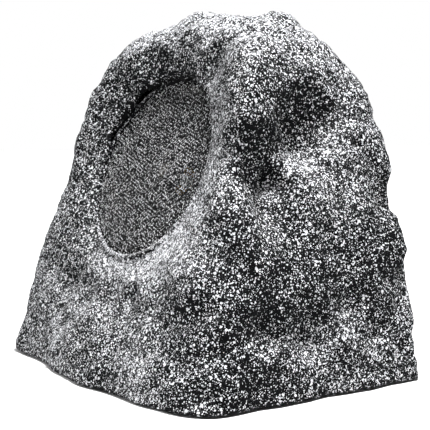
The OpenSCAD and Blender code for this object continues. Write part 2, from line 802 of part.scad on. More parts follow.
module post_nut() {
    color([0.5, 0.5, 0.52])
    on_driver_axis() difference() {
        translate([0, 0, yoke_back - post_nut_t]) cylinder(r = post_r + 4, h = post_nut_t, $fn = 6);
        round_bar(post_r + post_clear, yoke_back - post_nut_t - 1, yoke_back + 1);
    }
}

tweeter_wall = 2;
tweeter_floor = 3;
tweeter_inner_r = tweeter_d / 2 - tweeter_wall - slide_fit;
tweeter_taper_h = 6;
tweeter_taper_w = 7;
tweeter_cavity = housing_back + tweeter_taper_h + tweeter_floor;
module tweeter_housing() {
    color([0.08, 0.08, 0.08])
    on_driver_axis() difference() {
        rotate_extrude()
            polygon([[0, housing_back], [tweeter_d / 2 - tweeter_taper_w, housing_back],
                     [tweeter_d / 2, housing_back + tweeter_taper_h],
                     [tweeter_d / 2, housing_front], [0, housing_front]]);
        round_bar(tweeter_d / 2 - tweeter_wall, tweeter_cavity, housing_front + 1);
        round_bar(post_bore / 2, housing_back - 1, tweeter_cavity + 1);
    }
}

tweeter_magnet_h = housing_front - tweeter_cavity - 3;
module tweeter_magnet() {
    color([0.55, 0.55, 0.58])
    on_driver_axis()
        tube(tweeter_inner_r, post_bore / 2, tweeter_cavity, tweeter_cavity + tweeter_magnet_h);
}

dome_t = 0.4;
dome_lap = 0.6;
dome_rise = 3.5;
dome_seat = tweeter_cavity + tweeter_magnet_h;
dome_ball = (dome_d * dome_d / 4 + dome_rise * dome_rise) / (2 * dome_rise);
module tweeter_dome() {
    color([0.5, 0.48, 0.45])
    on_driver_axis() {
        difference() {
            intersection() {
                translate([0, 0, dome_seat + 1 + dome_rise - dome_ball]) sphere(r = dome_ball);
                round_bar(dome_d / 2 + 1, dome_seat + 1, dome_seat + 12);
            }
            translate([0, 0, dome_seat + 1 + dome_rise - dome_ball]) sphere(r = dome_ball - dome_t);
        }
        tube(tweeter_inner_r, dome_d / 2 - dome_lap, dome_seat, dome_seat + 1);
    }
}

module tweeter_ring() {
    color([0.08, 0.08, 0.08])
    on_driver_axis() rotate_extrude()
        polygon([[dome_d / 2 + 0.5, dome_seat + 1], [tweeter_inner_r, dome_seat + 1],
                 [tweeter_inner_r, housing_front], [tweeter_d / 2, housing_front],
                 [tweeter_d / 2, housing_front + 1.5], [tweeter_d / 2 - 1.5, housing_front + 2.5],
                 [dome_d / 2 + 2.5, housing_front + 0.5]]);
}

// Crossover, on posts of the base plate behind the middle
board_x = 10;
board_y = 38;
board_post_r = 3.5;
board_inset = 5;
board_screw_r = 1.45;
board_screw_len = 8;
board_head_r = 2.7;
board_head_h = 1.8;
board_screw_at = [for (sx = [-1, 1]) for (sy = [-1, 1])
    [board_x + sx * (board_w / 2 - board_inset), board_y + sy * (board_d / 2 - board_inset)]];
module on_board(x, y) {
    translate([board_x + x, board_y + y, board_top]) children();
}

module crossover_board() {
    color([0.1, 0.35, 0.2])
    difference() {
        translate([board_x - board_w / 2, board_y - board_d / 2, board_bottom])
            cube([board_w, board_d, board_t]);
        for (p = board_screw_at)
            translate([p.x, p.y, board_bottom - 1]) cylinder(r = board_screw_r + slide_fit, h = board_t + 2);
    }
}

module board_screws() {
    color("silver")
    for (p = board_screw_at)
        translate([p.x, p.y, board_top]) rotate([180, 0, 0])
            pan_screw(board_screw_r, board_screw_len, board_head_r, board_head_h);
}

// Spools: place along and across the board, flange radius, core radius and height
spools = [[-24, -4, 17, 8, 18], [20, -12, 12, 5, 14]];
spool_flange = 1.5;
module inductor_spools() {
    color([0.9, 0.9, 0.88])
    for (s = spools)
        on_board(s[0], s[1]) difference() {
            union() {
                cylinder(r = s[3], h = s[4]);
                cylinder(r = s[2], h = spool_flange);
                translate([0, 0, s[4] - spool_flange]) cylinder(r = s[2], h = spool_flange);
            }
            translate([0, 0, -1]) cylinder(r = s[3] - 1.5, h = s[4] + 2);
        }
}

module inductor_coils() {
    color([0.72, 0.4, 0.2])
    for (s = spools)
        on_board(s[0], s[1]) tube(s[2] - 1, s[3], spool_flange, s[4] - spool_flange);
}

capacitor_at = [[2, 20], [20, 12], [36, 18]];
capacitor_r = 6;
capacitor_h = 22;
module capacitors() {
    color([0.15, 0.2, 0.5])
    for (p = capacitor_at)
        on_board(p.x, p.y) rotate_extrude()
            polygon([[0, 0], [capacitor_r - 0.8, 0], [capacitor_r, 0.8], [capacitor_r, 2],
                     [capacitor_r - 0.5, 2.6], [capacitor_r, 3.2], [capacitor_r, capacitor_h - 0.8],
                     [capacitor_r - 0.8, capacitor_h], [0, capacitor_h]]);
}

module resistor() {
    color([0.88, 0.86, 0.8])
    on_board(-34, 18) cube([26, 8, 8]);
}

block_x = 38;
block_y = -12;
block_w = 22;
block_d = 9;
block_h = 10;
block_hole_r = 1.5;
module terminal_block() {
    color([0.1, 0.4, 0.25])
    on_board(block_x, block_y) difference() {
        translate([-block_d / 2, -block_w / 2, 0]) cube([block_d, block_w, block_h]);
        for (i = [0 : 3])
            translate([0, -block_w / 2 + block_w * (i + 0.5) / 4, block_h / 2])
                cylinder(r = block_hole_r, h = block_h);
    }
}

// Wires, each swept along a smooth curve between its two ends
wire_r = 0.9;
wire_gap = 1.2;
wire_sides = 8;
wire_rings = 20;
function curve_at(c, t) =
    c[0] * pow(1 - t, 3) + c[1] * 3 * t * pow(1 - t, 2) + c[2] * 3 * t * t * (1 - t) + c[3] * pow(t, 3);
function curve_dir(c, t) =
    let (d = (c[1] - c[0]) * pow(1 - t, 2) + (c[2] - c[1]) * 2 * t * (1 - t) + (c[3] - c[2]) * t * t)
    d / norm(d);
function ring_at(c, t) =
    let (o = curve_at(c, t),
         z = curve_dir(c, t),
         x = cross([1, 0.2, 0.1], z) / norm(cross([1, 0.2, 0.1], z)),
         y = cross(z, x))
    [for (i = [0 : wire_sides - 1])
        o + wire_r * (x * cos(360 * i / wire_sides) + y * sin(360 * i / wire_sides))];

module wire(c) {
    polyhedron(
        points = [for (k = [0 : wire_rings]) each ring_at(c, k / wire_rings)],
        faces = concat(
            [[for (i = [wire_sides - 1 : -1 : 0]) i]],
            [for (k = [0 : wire_rings - 1]) for (i = [0 : wire_sides - 1])
                let (a = k * wire_sides + i, b = k * wire_sides + (i + 1) % wire_sides)
                for (t = [[a, b, b + wire_sides], [a, b + wire_sides, a + wire_sides]]) t],
            [[for (i = [0 : wire_sides - 1]) wire_rings * wire_sides + i]]
        )
    );
}

// Point given in the driver's own axes
function driver_point(p) = grille_centre + [p.x, 0, 0] + axis_up * p.y + axis_out * p.z;
function strip_point(s) =
    driver_point([(strip_r - 4) * cos(strip_angle) - s * strip_w / 4 * sin(strip_angle),
                  (strip_r - 4) * sin(strip_angle) + s * strip_w / 4 * cos(strip_angle),
                  strip_z - wire_r - 0.2]);
function block_point(i) =
    [board_x + block_x, board_y + block_y - block_w / 2 + block_w * (i + 0.5) / 4, board_top + block_h + 0.2];

module woofer_leads() {
    color([0.6, 0.1, 0.1])
    for (i = [0, 1]) {
        a = block_point(i);
        b = strip_point(i == 0 ? 1 : -1);
        wire([a, a + [0, -8, 45], b - axis_out * 40 - axis_up * 10, b]);
    }
}

module tweeter_leads() {
    color([0.1, 0.1, 0.5])
    for (i = [0, 1]) {
        a = block_point(i + 2);
        b = driver_point([0, (wire_r + wire_gap / 2) * (i == 0 ? -1 : 1), post_back - 0.3]);
        wire([a, a + [0, 4, 40], b - axis_out * 30, b]);
    }
}

pad_w = 70;
pad_d = 90;
pad_h = 30;
pad_inset_x = 46.5;
pad_y = 10;
module damping_pad() {
    color([0.85, 0.85, 0.82])
    translate([-rock_w / 2 + pad_inset_x, pad_y - pad_d / 2, plate_top]) cube([pad_w, pad_d, pad_h]);
}

rock_shell();
base_plate();
base_gasket();
base_screws();
rubber_feet();
foot_screws();
gland_body();
gland_seal();
gland_cap();
gland_nut();
grille();
woofer_gasket();
basket();
woofer_screws();
trim_ring();
surround();
cone();
spider();
coil_former();
coil_winding();
top_plate();
magnet();
yoke();
terminal_strip();
tweeter_post();
post_nut();
tweeter_housing();
tweeter_magnet();
tweeter_dome();
tweeter_ring();
crossover_board();
board_screws();
inductor_spools();
inductor_coils();
capacitors();
resistor();
terminal_block();
woofer_leads();
tweeter_leads();
damping_pad();
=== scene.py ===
"""Looks of a rock shaped garden speaker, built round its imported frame."""

import json
import math

import bmesh
import bpy
from mathutils import Matrix, Vector, noise


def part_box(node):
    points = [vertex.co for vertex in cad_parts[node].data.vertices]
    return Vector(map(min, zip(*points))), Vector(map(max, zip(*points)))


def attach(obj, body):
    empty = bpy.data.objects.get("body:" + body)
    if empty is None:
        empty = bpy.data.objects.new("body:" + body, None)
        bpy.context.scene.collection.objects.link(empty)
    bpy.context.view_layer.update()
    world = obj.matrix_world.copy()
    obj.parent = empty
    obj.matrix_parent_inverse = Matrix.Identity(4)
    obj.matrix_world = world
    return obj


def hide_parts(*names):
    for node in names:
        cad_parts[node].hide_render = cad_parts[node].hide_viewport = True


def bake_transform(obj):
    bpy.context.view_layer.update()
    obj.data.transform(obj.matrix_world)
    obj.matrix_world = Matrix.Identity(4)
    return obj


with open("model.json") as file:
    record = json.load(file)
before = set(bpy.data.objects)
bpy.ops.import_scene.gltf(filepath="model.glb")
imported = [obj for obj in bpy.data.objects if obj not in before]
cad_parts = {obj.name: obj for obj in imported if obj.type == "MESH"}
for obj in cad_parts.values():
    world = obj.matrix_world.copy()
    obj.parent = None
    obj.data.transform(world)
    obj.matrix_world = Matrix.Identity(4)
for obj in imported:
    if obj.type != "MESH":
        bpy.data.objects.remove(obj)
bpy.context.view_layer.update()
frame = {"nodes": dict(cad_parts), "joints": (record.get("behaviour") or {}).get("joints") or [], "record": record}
nodes = frame["nodes"]
slot_of = {s["node"]: s["material_slot"] for s in frame["record"]["subparts"]}

relief_seed = 1
noise.seed_set(relief_seed)  # without it every run would warp the rock's relief in another way

MM = 0.001
sheet_low, sheet_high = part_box("grille")
rock_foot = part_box("rock_shell")[0].z


# Materials

paint_roughness = 0.85
paint_gloss = 0.04
soft_gloss = 0.25
plain_gloss = 0.5

# Flakes of paint, measured in cells of their own pattern
wobble_finer = 1.3
wobble_reach = 0.45
draw_blur = 0.02
smallest_flake = 0.5
flake_growth = 0.3
flake_edge = (-0.02, 0.06)

# Cells per metre, share of the coverage, radius in cells and answer to the light paint value, partly painted
# light, of each size
flake_sizes = ((360.0, 0.4, 0.5, -0.1), (650.0, 1.0, 0.52, 0.05), (1100.0, 0.75, 0.54, 0.2))


def toned(colour, by, plus=0.0):
    return tuple(min(1.0, by * c + plus) for c in colour)


class Finish:
    """Node material whose colour, roughness and bump come from patterns on Object coordinates."""

    def __init__(self, name, roughness, metallic=0.0, gloss=plain_gloss):
        self.material = bpy.data.materials.new(name)
        self.material.use_nodes = True
        self.tree = self.material.node_tree
        self.shader = self.tree.nodes["Principled BSDF"]
        self.shader.inputs["Roughness"].default_value = roughness
        self.shader.inputs["Metallic"].default_value = metallic
        self.shader.inputs["Specular IOR Level"].default_value = gloss
        self.place = self.tree.nodes.new("ShaderNodeTexCoord").outputs["Object"]

    def link(self, out, into):
        self.tree.links.new(out, into)

    def noise_node(self, scale, detail):
        made = self.tree.nodes.new("ShaderNodeTexNoise")
        made.inputs["Scale"].default_value = scale
        made.inputs["Detail"].default_value = detail
        self.link(self.place, made.inputs["Vector"])
        return made

    def noise(self, scale, detail=2.0, rough=0.5):
        """Cloudy pattern, its scale in features per metre."""
        made = self.noise_node(scale, detail)
        made.inputs["Roughness"].default_value = rough
        return made.outputs["Fac"]

    def wobbled(self, scale, reach):
        """The place itself, pushed about by a fine noise, as far as a share of its features."""
        push = self.tree.nodes.new("ShaderNodeVectorMath")
        push.operation = "MULTIPLY_ADD"
        push.inputs[1].default_value = (2 * reach / scale,) * 3
        self.link(self.noise_node(scale, 1.0).outputs["Color"], push.inputs[0])
        self.link(self.place, push.inputs[2])
        return push.outputs[0]

    def chips(self, scale, share, radius, spray_and_painted_light, answer):
        """Flakes of mixed size in cells: 1 on a flake, and each cell's own random number.

        The share of cells with a flake rises with the mesh's light paint value by the answer, and the flakes grow
        with it; as that value is partly painted light, faces that look up or to the front come out lighter.
        """
        cell = self.tree.nodes.new("ShaderNodeTexVoronoi")
        cell.inputs["Scale"].default_value = scale
        self.link(self.wobbled(scale * wobble_finer, wobble_reach), cell.inputs["Vector"])
        split = self.tree.nodes.new("ShaderNodeSeparateColor")
        self.link(cell.outputs["Color"], split.inputs[0])
        drawn, drawn_size, shade = (split.outputs[i] for i in range(3))
        # partly painted light: more flakes where the light paint value is high
        drawn = self.math("ADD", drawn, self.math("MULTIPLY", spray_and_painted_light, answer))
        chosen = self.step(drawn, 1 - share, 1 + draw_blur - share)
        # partly painted light: flakes grow where the light paint value is high
        spread = self.math("ADD", 1.0, self.math("MULTIPLY", spray_and_painted_light, flake_growth))
        size = self.step(drawn_size, 0.0, 1.0, smallest_flake * radius, radius)
        size = self.math("MULTIPLY", size, spread)
        inside = self.math("SUBTRACT", size, cell.outputs["Distance"])
        return self.math("MULTIPLY", chosen, self.step(inside, *flake_edge)), shade

    def carried(self, name):
        """Number that the piece's own mesh carries, 0 where it has none."""
        made = self.tree.nodes.new("ShaderNodeAttribute")
        made.attribute_name = name
        return made.outputs["Fac"]

    def waves(self, axis, pitch):
        """Even waves along one of the axes, their pitch in metres."""
        split = self.tree.nodes.new("ShaderNodeSeparateXYZ")
        self.link(self.place, split.inputs[0])
        return self.math("SINE", self.math("MULTIPLY", split.outputs[axis], 2 * math.pi / pitch))

    def step(self, value, low, high, to_low=0.0, to_high=1.0):
        """Value from low to high becomes to_low to to_high, held at the ends."""
        made = self.tree.nodes.new("ShaderNodeMapRange")
        made.interpolation_type = "SMOOTHSTEP"
        made.inputs["From Min"].default_value = low
        made.inputs["From Max"].default_value = high
        made.inputs["To Min"].default_value = to_low
        made.inputs["To Max"].default_value = to_high
        self.link(value, made.inputs["Value"])
        return made.outputs["Result"]

    def math(self, kind, a, b=None):
        made = self.tree.nodes.new("ShaderNodeMath")
        made.operation = kind
        for value, socket in zip((a, b), made.inputs):
            if isinstance(value, (int, float)):
                socket.default_value = value
            elif value is not None:
                self.link(value, socket)
        return made.outputs[0]

    def mix(self, share, a, b):
        """Colour a where share is 0 and b where it is 1."""
        made = self.tree.nodes.new("ShaderNodeMix")
        made.data_type = "RGBA"
        self.link(share, made.inputs[0])
        for value, socket in zip((a, b), (made.inputs[6], made.inputs[7])):
            if isinstance(value, tuple):
                socket.default_value = (*value, 1.0)
            else:
                self.link(value, socket)
        return made.outputs[2]

    def colour(self, value):
        if isinstance(value, tuple):
            self.shader.inputs["Base Color"].default_value = (*value, 1.0)
        else:
            self.link(value, self.shader.inputs["Base Color"])

    def rough(self, value):
        self.link(value, self.shader.inputs["Roughness"])

    def bump(self, height, distance, strength):
        made = self.tree.nodes.new("ShaderNodeBump")
        made.inputs["Strength"].default_value = strength
        made.inputs["Distance"].default_value = distance
        self.link(height, made.inputs["Height"])
        self.link(made.outputs["Normal"], self.shader.inputs["Normal"])


def granite_paint(name, coverage, dark, light):
    """Near-black coat with crisp off-white flakes of three sizes, as sprayed granite paint has; more flakes and a
    lighter mist where the mesh's light paint value is high, partly painted light.
    """
    made = Finish(name, paint_roughness, gloss=paint_gloss)
    spray_and_painted_light = made.carried("spray_and_painted_light")
    (large, shade), (middle, _), (small, _) = (
        made.chips(cells, share * coverage, radius, spray_and_painted_light, answer)
        for cells, share, radius, answer in flake_sizes
    )
    flakes = made.math("MAXIMUM", large, made.math("MAXIMUM", middle, small))
    grit = made.step(made.noise(900.0, rough=0.6), 0.48, 0.62)
    # random mist of light paint, lighter still as painted light on faces that look up or to the front
    mist_and_painted_light = made.math("ADD", made.noise(1500.0, detail=1.0), made.math("MULTIPLY", spray_and_painted_light, 0.18))
    ground = made.mix(grit, dark, toned(dark, 3))
    ground = made.mix(made.step(mist_and_painted_light, 0.56, 0.86), ground, toned(light, 0.25))
    made.colour(made.mix(flakes, ground, made.mix(shade, toned(light, 0.7), light)))
    made.bump(made.math("ADD", made.math("MULTIPLY", flakes, 0.5), grit), 0.3 * MM, 0.4)
    return made.material


def grille_coat(name, dark, light):
    """The same paint as it lies on the narrow webs of the grille, and near-black painted shade on the hole walls
    and the sheet's back.
    """
    made = Finish(name, paint_roughness, gloss=paint_gloss)
    flecks = made.step(made.noise(620.0, detail=1.0, rough=0.6), 0.5, 0.6)
    # painted shade: the hole walls and the back of the sheet are near black, so that the holes read dark
    painted_hole_shade = made.step(made.carried("inside"), 0.05, 0.3)
    made.colour(made.mix(painted_hole_shade, made.mix(flecks, dark, light), (0.002, 0.002, 0.002)))
    made.bump(flecks, 0.15 * MM, 0.4)
    return made.material


def moulded_plastic(name, colour, roughness=0.45, grain=900.0):
    """Plain moulded plastic with a fine spark grain and faint flow marks."""
    made = Finish(name, roughness, gloss=soft_gloss)
    flow = made.step(made.noise(25.0, detail=3.0), 0.3, 0.7)
    made.colour(made.mix(flow, colour, toned(colour, 1.25, 0.002)))
    made.rough(made.step(made.noise(60.0), 0.3, 0.7, roughness - 0.06, roughness + 0.08))
    made.bump(made.noise(grain), 0.15 * MM, 0.35)
    return made.material


def worked_metal(name, colour, roughness=0.32, metallic=1.0):
    """Plated or turned metal with faint streaks and handling marks."""
    made = Finish(name, roughness, metallic)
    streaks = made.step(made.noise(140.0, detail=4.0, rough=0.7), 0.3, 0.75)
    made.colour(made.mix(streaks, colour, toned(colour, 0.8)))
    handled = made.noise(45.0, detail=3.0)
    made.rough(made.step(handled, 0.3, 0.7, roughness - 0.07, roughness + 0.13))
    made.bump(made.noise(700.0, detail=3.0), 0.08 * MM, 0.3)
    return made.material


def soft_rubber(name, colour, roughness=0.75):
    """Matte rubber, foam or wadding with a fine grain and a dusty bloom."""
    made = Finish(name, roughness, gloss=soft_gloss)
    bloom = made.step(made.noise(35.0, detail=3.0), 0.35, 0.75)
    made.colour(made.mix(bloom, colour, toned(colour, 1.6, 0.004)))
    made.bump(made.noise(1300.0), 0.2 * MM, 0.4)
    return made.material


def woven_cloth(name, colour, pitch):
    """Cloth with a crossed weave, its pitch in metres."""
    made = Finish(name, 0.85)
    weave = made.math("MULTIPLY", made.waves("X", pitch), made.waves("Z", pitch))
    made.colour(made.mix(made.step(weave, -1.0, 1.0), toned(colour, 0.55), colour))
    made.bump(weave, 0.2 * MM, 0.6)
    return made.material


def wound_copper(name, colour, pitch):
    """Enamelled wire wound in even turns, its pitch in metres."""
    made = Finish(name, 0.3, 0.85)
    turns = made.waves("Z", pitch)
    made.colour(made.mix(made.step(turns, -1.0, 0.4), toned(colour, 0.35), colour))
    made.bump(turns, 0.15 * MM, 0.8)
    return made.material


rock_dark, rock_light = (0.002, 0.0021, 0.0024), (0.8, 0.81, 0.84)
web_dark, web_light = (0.01, 0.0103, 0.011), (0.95, 0.96, 0.98)

finishes = {
    "rock_paint": granite_paint("granite_paint", 0.43, rock_dark, rock_light),
    "grille_paint": grille_coat("granite_paint_thin", web_dark, web_light),
    "black_plastic": moulded_plastic("black_moulded_plastic", (0.02, 0.02, 0.021)),
    "white_plastic": moulded_plastic("white_spool_plastic", (0.72, 0.72, 0.68), 0.35),
    # cone: black plastic, set darker still as painted shade, so that it reads dark behind the grille
    "cone_plastic": moulded_plastic("mica_filled_cone_darkened_as_shade", (0.007, 0.007, 0.008), 0.6, 500.0),
    "former_film": moulded_plastic("amber_former_film", (0.2, 0.12, 0.035), 0.4),
    "capacitor_sleeve": moulded_plastic("blue_shrink_sleeve", (0.03, 0.06, 0.25), 0.3),
    "ceramic_white": moulded_plastic("white_ceramic", (0.7, 0.68, 0.6), 0.7),
    "board_green": moulded_plastic("green_solder_mask", (0.02, 0.13, 0.05), 0.3, 400.0),
    "block_green": moulded_plastic("green_terminal_plastic", (0.02, 0.18, 0.07), 0.4),
    "lead_red": moulded_plastic("red_wire_jacket", (0.35, 0.015, 0.015), 0.4),
    "lead_blue": moulded_plastic("blue_wire_jacket", (0.02, 0.04, 0.28), 0.4),
    "zinc": worked_metal("zinc_plate", (0.6, 0.6, 0.61)),
    "steel": worked_metal("plated_steel", (0.5, 0.5, 0.52), 0.38),
    "nickel": worked_metal("nickel_plate", (0.6, 0.58, 0.55), 0.25),
    "brass": worked_metal("tinned_brass", (0.62, 0.52, 0.26), 0.35),
    "black_screw": worked_metal("black_phosphate", (0.03, 0.03, 0.032), 0.5),
    "black_steel": worked_metal("black_coated_steel", (0.02, 0.02, 0.021), 0.42, 0.0),
    "ferrite": worked_metal("sintered_ferrite", (0.05, 0.05, 0.055), 0.6, 0.3),
    "rubber": soft_rubber("black_rubber", (0.012, 0.012, 0.012)),
    "foam": soft_rubber("closed_cell_foam", (0.03, 0.03, 0.03), 0.9),
    "spider_cloth": woven_cloth("resin_cloth", (0.5, 0.34, 0.12), 1.2 * MM),
    "dome_film": woven_cloth("coated_silk", (0.2, 0.19, 0.17), 0.6 * MM),
    "wadding": soft_rubber("polyester_wadding", (0.6, 0.6, 0.57), 0.95),
    "copper": wound_copper("enamelled_copper", (0.6, 0.24, 0.1), 1.4 * MM),
}


# Pieces

crease = math.radians(35)  # sharper edges than this aren't shaded smooth
rock_crease = math.radians(60)


def finish_piece(piece, node_name, sharp_from=crease):
    """Gives a piece the finish of a node and its shading."""
    piece.data.materials.clear()
    piece.data.materials.append(finishes[slot_of[node_name]])
    piece.data.shade_smooth()
    piece.data.set_sharp_from_angle(angle=sharp_from)


def in_order(things):
    """Each thing once, in the order in which they come, so that every run cuts alike."""
    return list(dict.fromkeys(things))


def mesh_of(form, name):
    mesh = bpy.data.meshes.new(name)
    form.to_mesh(mesh)
    form.free()
    return mesh


def add_object(name, data):
    made = bpy.data.objects.new(name, data)
    bpy.context.scene.collection.objects.link(made)
    return made


def add_piece(mesh, node_name, sharp_from=crease):
    """Piece named as its mesh, which takes the place of a node and its finish."""
    piece = add_object(mesh.name, mesh)
    finish_piece(piece, node_name, sharp_from)
    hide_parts(node_name)
    return piece


for node_name, node in nodes.items():
    finish_piece(node, node_name)


# Driver axes: out of the sheet, as the cone travels, along the sheet and up it
sheet_out = Vector(frame["joints"][0]["axis"]).normalized()
sheet_across = Vector((1.0, 0.0, 0.0))
sheet_up = sheet_out.cross(sheet_across).normalized()


def sheet_centre():
    """Centre of the grille's face: the grille is a tilted disc with a folded rim."""
    corners = [v.co for v in nodes["grille"].data.vertices]
    across = [c.dot(sheet_across) for c in corners]
    up = [c.dot(sheet_up) for c in corners]
    return (
        sheet_across * (min(across) + max(across)) / 2
        + sheet_up * (min(up) + max(up)) / 2
        + sheet_out * max(c.dot(sheet_out) for c in corners)
    )


grille_centre = sheet_centre()
grille_r = (sheet_high.x - sheet_low.x) / 2


# Rock skin

rock_middle = 150 * MM
no_length = 1e-6

seat_depth = 30 * MM  # walls of the opening end before this depth
plain_lip = 4.5  # millimetres of lip round the sheet that stay plain
craggy_less = 3.5  # and as much less on the craggy side
lip_to_relief = 10 * MM  # width over which the relief grows
plain_foot = 1 * MM
foot_to_relief = 9 * MM

lap_cut = 0.3 * MM  # height over the sheet's face at which the lip gets new corners
lap_levels = (0.2 * MM, 14 * MM)
lap_width = 12 * MM
lap_inner = 0.8  # share of the sheet's radius
lap_even, lap_craggy = 1.0, 4.0  # millimetres that the edge is drawn in
lap_wander, lap_wander_scale = 0.6, 90
lap_height = 11 * MM
lap_from, lap_fade = 1 * MM, 9 * MM

# Relief, its heights in millimetres and its scales in features per metre
warp_scale, warp_reach = 14, 0.02
slab_height, slab_scale = 1.2, 22
chip_height, chip_scale = 1.3, 62
grit_height, grit_scale = 0.7, 150
ridge_height, ridge_scale = 1.1, 38
pit_height, pit_scale, pit_share = 2.4, 95, 0.15
relief_drop = 0.6

outside_from = 0.2
longest_edge = 3.6 * MM
cutting_rounds = 3
smoothing_rounds, smoothed_from = 2, 0.3

# Light paint with painted light: faces that look up or to the front get more and finer light flakes and a lighter
# mist, as painted light where the lamps above and in front fall; random patches and a band round the smooth lip
# vary the light paint too
painted_light_up, painted_light_front, painted_light_offset = 1.1, 0.25, 0.4
patch_strength = 0.4
patch_scale, small_patch, small_patch_scale = 13, 0.6, 31
rim_light, rim_craggy_less = 0.4, 0.75
rim_width, rim_fade = 15 * MM, 38 * MM


def ease(t):
    t = min(1.0, max(0.0, t))
    return t * t * (3 - 2 * t)


def outwardness(place, normal):
    """1 on the rock's outside, 0 on the walls inside it."""
    away = place - Vector((0.0, 0.0, min(place.z, rock_middle)))
    if away.length < no_length:
        return 1.0
    return ease((normal.dot(away.normalized()) - 0.02) / 0.25)


def over_sheet(place):
    """Height over the grille's face, the place along it, and 1 on its craggy upper left side."""
    q = place - grille_centre
    level = q.dot(sheet_out)
    flat = q - sheet_out * level
    lean = flat.dot(sheet_up) * 0.5 - flat.dot(sheet_across)
    return level, flat, ease(0.5 + 0.5 * lean / max(flat.length, no_length))


def away_from_grille(place):
    """0 in the opening, 1 from a little outside the lip: closer in on the craggy side."""
    level, flat, craggy = over_sheet(place)
    if level < -seat_depth:
        return 1.0
    return ease((flat.length - grille_r - (plain_lip - craggy_less * craggy) * MM) / lip_to_relief)


def triangulate(skin):
    bmesh.ops.triangulate(skin, faces=[f for f in skin.faces if len(f.verts) > 3])


def lap_over_sheet(skin):
    """Draws the rock's edge in over the sheet's plain margin, furthest on the craggy side."""
    places = ((f, over_sheet(f.calc_center_median())) for f in skin.faces)
    ring = [
        f
        for f, (level, flat, _) in places
        if abs(level) < seat_depth and flat.length < grille_r + lap_width
    ]
    parts = in_order(g for f in ring for g in (f, *f.edges, *f.verts))
    cut_at = grille_centre + sheet_out * lap_cut
    bmesh.ops.bisect_plane(skin, geom=parts, plane_co=cut_at, plane_no=sheet_out)
    triangulate(skin)
    for v in skin.verts:
        level, flat, craggy = over_sheet(v.co)
        rho = flat.length
        if not lap_levels[0] < level < lap_levels[1]:
            continue
        if not lap_inner * grille_r < rho < grille_r + lap_width:
            continue
        wander = 1 + lap_wander * noise.noise(v.co * lap_wander_scale)
        reach = (lap_even + lap_craggy * craggy * wander) * MM
        share = (1 - ease(level / lap_height)) * (1 - ease((rho - grille_r - lap_from) / lap_fade))
        v.co -= flat * (reach * share / rho)


def crag(p):
    """Height of the rock's own relief at a place, in millimetres: chipped planes, pits and grit."""
    q = p + noise.noise_vector(p * warp_scale) * warp_reach
    slabs = noise.multi_fractal(q * slab_scale, 1.0, 2.1, 3, noise_basis="PERLIN_ORIGINAL") - 1.0
    ridges = 1 - 2 * abs(noise.noise(q * ridge_scale))
    pits = min(0.0, noise.noise(q * pit_scale) + pit_share)
    return (
        slab_height * slabs
        + chip_height * noise.noise(q * chip_scale)
        + grit_height * noise.noise(p * grit_scale)
        + ridge_height * ridges
        + pit_height * pits
        - relief_drop
    )


def on_rock(face):
    """Outer faces of the rock, without the lip round the grille and the driver's seat."""
    centre = face.calc_center_median()
    return away_from_grille(centre) > 0 and outwardness(centre, face.normal) > outside_from


def cut_fine(skin):
    """Cuts the rock's outer faces until their edges are short."""
    for _ in range(cutting_rounds):
        skin.normal_update()
        edges = in_order(e for f in skin.faces if on_rock(f) for e in f.edges)
        long_edges = [e for e in edges if e.calc_length() > longest_edge]
        bmesh.ops.subdivide_edges(skin, edges=long_edges, cuts=1, use_grid_fill=True)
        triangulate(skin)
    skin.normal_update()


def relief_shares(skin):
    """How much of the relief each corner takes, for those that take some."""
    shares = {}
    for v in skin.verts:
        share = outwardness(v.co, v.normal) * away_from_grille(v.co)
        share *= ease((v.co.z - rock_foot - plain_foot) / foot_to_relief)
        if share > 0:
            shares[v] = share
    return shares


def spray_and_painted_light_at(place, normal):
    """How much light paint a place gets: painted light on faces that look up or to the front, random patches, and
    a band round the lip.
    """
    patches = noise.noise(place * patch_scale)
    patches += small_patch * noise.noise(place * small_patch_scale)
    _, flat, craggy = over_sheet(place)
    near = 1 - ease((flat.length - grille_r - rim_width) / rim_fade)
    # painted light: faces that look up or to the front get more light paint, where the key and fill lamps fall
    lean = painted_light_up * normal.z - painted_light_front * normal.y - painted_light_offset
    return lean + patch_strength * patches + (rim_light - rim_craggy_less * craggy) * near


def rock_skin():
    skin = bmesh.new()
    skin.from_mesh(nodes["rock_shell"].data)
    bmesh.ops.remove_doubles(skin, verts=skin.verts, dist=0.01 * MM)
    skin.normal_update()
    lap_over_sheet(skin)
    cut_fine(skin)
    shares = relief_shares(skin)
    for _ in range(smoothing_rounds):
        bmesh.ops.smooth_vert(
            skin,
            verts=[v for v, share in shares.items() if share > smoothed_from],
            factor=0.5,
            use_axis_x=True,
            use_axis_y=True,
            use_axis_z=True,
        )
    skin.normal_update()
    for v, share in shares.items():
        v.co += v.normal * (crag(v.co) * MM * share)
    mesh = mesh_of(skin, "rock")
    # mesh attribute of light paint, partly painted light on faces that look up or to the front
    spray_and_painted_light = mesh.attributes.new("spray_and_painted_light", "FLOAT", "POINT")
    for v in mesh.vertices:
        spray_and_painted_light.data[v.index].value = spray_and_painted_light_at(v.co, v.normal)
    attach(add_piece(mesh, "rock_shell", rock_crease), "enclosure")


rock_skin()


# Perforated grille sheet

hole_pitch = 3.0 * MM
hole_r = 1.3 * MM
hole_sides = 8
sheet_t = 0.5 * MM
field_r = grille_r - 2.5 * MM
fold_r = field_r - 0.9 * hole_pitch
rim_t = 0.6 * MM
rim_sides = 160
rows_turn = math.radians(-18)

# Radius and level of the folded rim, from the field of holes round its edge and back
rim_start_level = -0.7 * MM
rim_profile = (
    (grille_r - 1.0 * MM, -0.6 * MM),
    (grille_r - 0.2 * MM, -0.9 * MM),
    (grille_r, -1.8 * MM),
    (grille_r, -6.0 * MM),
    (grille_r - rim_t, -6.0 * MM),
    (grille_r - rim_t, -2.0 * MM),
    (fold_r, -1.3 * MM),
)


